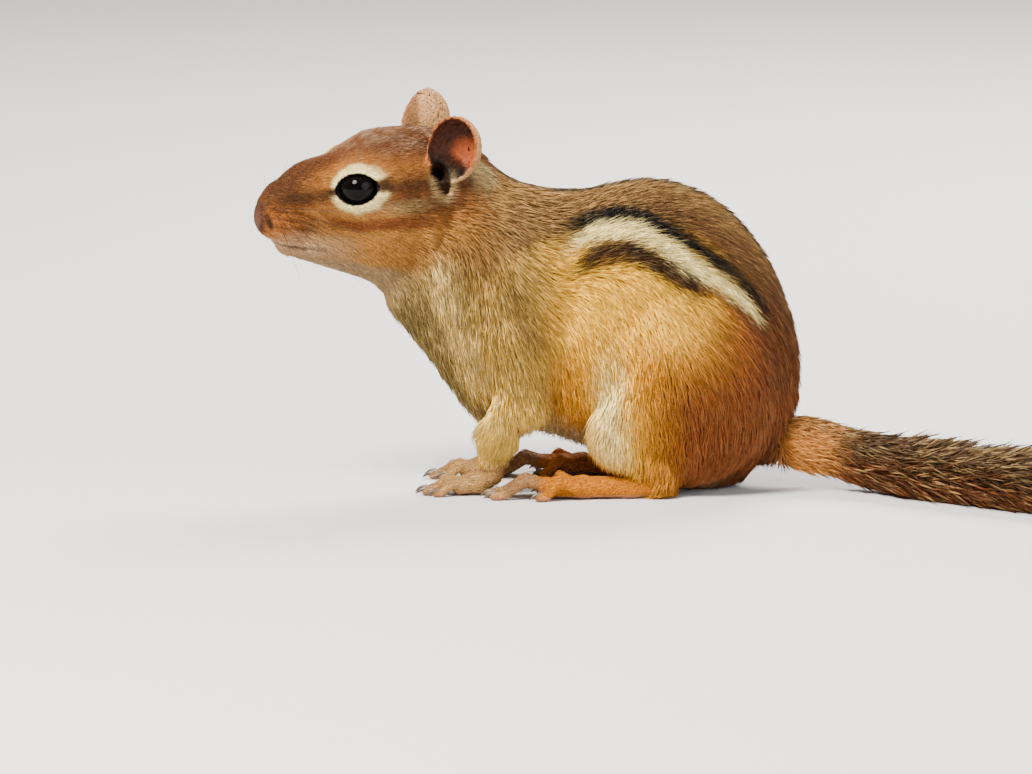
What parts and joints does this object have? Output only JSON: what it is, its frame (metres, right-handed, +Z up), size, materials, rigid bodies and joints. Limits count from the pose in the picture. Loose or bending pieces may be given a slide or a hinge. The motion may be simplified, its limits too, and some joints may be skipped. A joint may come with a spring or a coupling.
{
  "type": "eastern chipmunk model",
  "caption": "Life-size still model of a chipmunk sitting on its hind feet, forepaws on the ground, head raised, tail laid out behind.",
  "frame": {"origin": "on the ground under the middle of the model's outline", "axes": "+Z up, -X towards the nose and +X towards the tail, -Y to the animal's left side"},
  "size_m": [0.1882, 0.0806, 0.0853],
  "materials": {
    "coat": "short grizzled fur, reddish brown with black and cream back stripes",
    "thigh": "short rusty fur",
    "paw": "very short buff fur",
    "hind_foot": "very short orange fur",
    "tail": "longer frosted fur",
    "ear": "thin skin with down",
    "eye": "wet and glossy",
    "claw": "dark horn"
  },
  "bodies": {
    "root": {"ear_left": "ear", "ear_right": "ear", "eye_left": "eye", "eye_right": "eye", "fore_claw_left_1": "claw", "fore_claw_left_2": "claw", "fore_claw_left_3": "claw", "fore_claw_left_4": "claw", "fore_claw_right_1": "claw", "fore_claw_right_2": "claw", "fore_claw_right_3": "claw", "fore_claw_right_4": "claw", "fore_paw_left": "paw", "fore_paw_right": "paw", "forearm_left": "paw", "forearm_right": "paw", "head": "coat", "hind_claw_left_1": "claw", "hind_claw_left_2": "claw", "hind_claw_left_3": "claw", "hind_claw_left_4": "claw", "hind_claw_left_5": "claw", "hind_claw_right_1": "claw", "hind_claw_right_2": "claw", "hind_claw_right_3": "claw", "hind_claw_right_4": "claw", "hind_claw_right_5": "claw", "hind_foot_left": "hind_foot", "hind_foot_right": "hind_foot", "neck": "coat", "shank_left": "thigh", "shank_right": "thigh", "tail_brush": "tail", "tail_root": "tail", "thigh_left": "thigh", "thigh_right": "thigh", "torso": "coat", "upper_arm_left": "coat", "upper_arm_right": "coat"}
  },
  "joints": []
}
